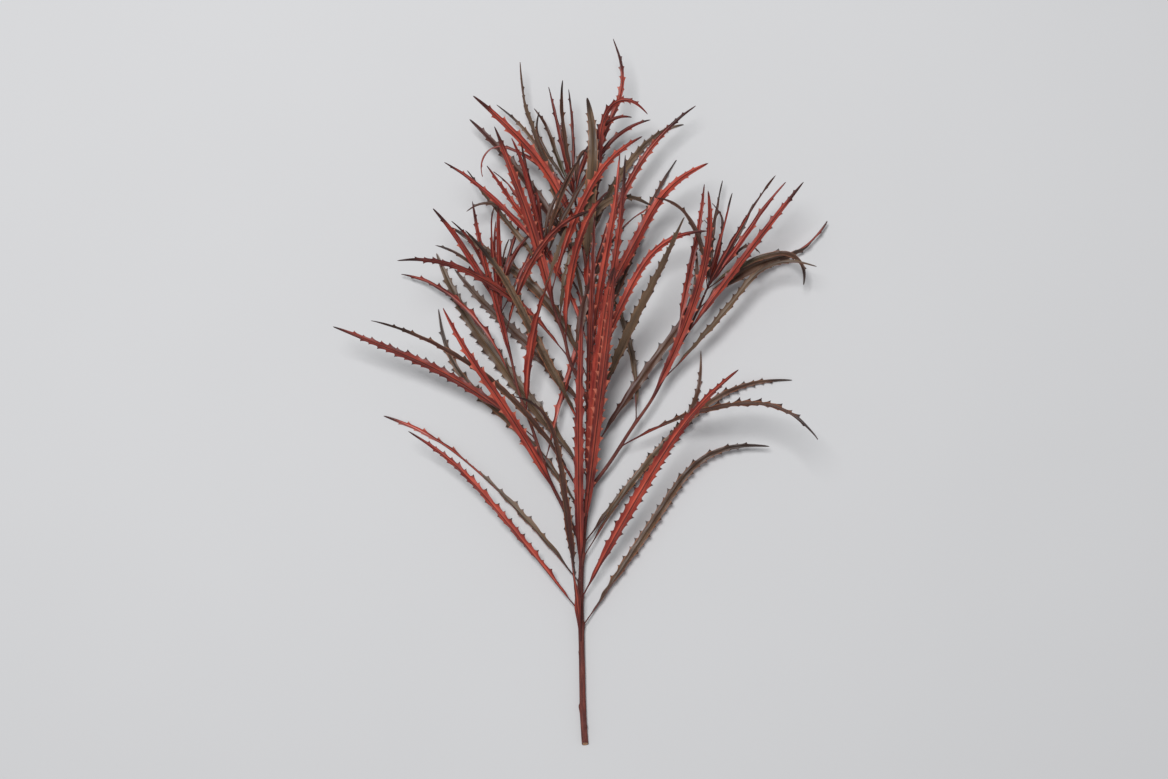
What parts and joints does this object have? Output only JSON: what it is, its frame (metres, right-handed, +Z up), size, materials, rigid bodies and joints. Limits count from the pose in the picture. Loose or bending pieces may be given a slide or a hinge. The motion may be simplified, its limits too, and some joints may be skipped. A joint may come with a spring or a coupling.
{
  "type": "dried grevillea stem",
  "caption": "Cut stem of dried, red-dyed grevillea with side shoots and long, arching, saw-toothed leaves, lying on a flat surface.",
  "frame": {"origin": "middle of the foot of the bounding box, on the surface that the stem lies on", "axes": "+Y along the stem from its cut end to its tip, +X to the right seen from above, +Z up"},
  "size_m": [0.5522, 0.7858, 0.1692],
  "materials": {
    "bark": "matte",
    "leaf": "satin",
    "young_leaf": "satin"
  },
  "bodies": {
    "root": {"stem": "bark", "leaf_01": "leaf", "leaf_02": "leaf", "leaf_03": "leaf", "leaf_04": "leaf", "leaf_05": "leaf", "leaf_06": "leaf", "leaf_07": "leaf", "leaf_08": "leaf", "leaf_09": "leaf", "leaf_10": "leaf", "leaf_11": "leaf", "leaf_12": "leaf", "leaf_13": "leaf", "leaf_14": "leaf", "leaf_15": "leaf", "leaf_16": "leaf", "leaf_17": "leaf", "leaf_18": "leaf", "leaf_19": "leaf", "leaf_20": "leaf", "leaf_21": "leaf", "leaf_22": "leaf", "leaf_23": "leaf", "leaf_24": "leaf", "leaf_25": "leaf", "leaf_26": "leaf", "leaf_27": "leaf", "leaf_28": "leaf", "leaf_29": "leaf", "leaf_30": "leaf", "leaf_31": "leaf", "leaf_32": "leaf", "leaf_33": "leaf", "leaf_34": "leaf", "left_shoot_leaf_1": "leaf", "left_shoot_leaf_2": "leaf", "left_shoot_leaf_3": "leaf", "left_shoot_leaf_4": "leaf", "left_shoot_leaf_5": "leaf", "left_shoot_leaf_6": "leaf", "left_shoot_leaf_7": "leaf", "right_shoot_leaf_1": "leaf", "right_shoot_leaf_2": "leaf", "right_shoot_leaf_3": "leaf", "right_shoot_leaf_4": "leaf", "right_shoot_leaf_5": "leaf", "right_shoot_leaf_6": "leaf", "right_shoot_leaf_7": "leaf", "upper_shoot_leaf_1": "leaf", "upper_shoot_leaf_2": "leaf", "upper_shoot_leaf_3": "leaf", "upper_shoot_leaf_4": "leaf", "upper_shoot_leaf_5": "leaf", "upper_shoot_leaf_6": "leaf", "upper_shoot_leaf_7": "leaf", "tip_spray": "young_leaf", "left_shoot_spray": "young_leaf", "right_shoot_spray": "young_leaf", "upper_shoot_spray": "young_leaf"}
  },
  "joints": []
}
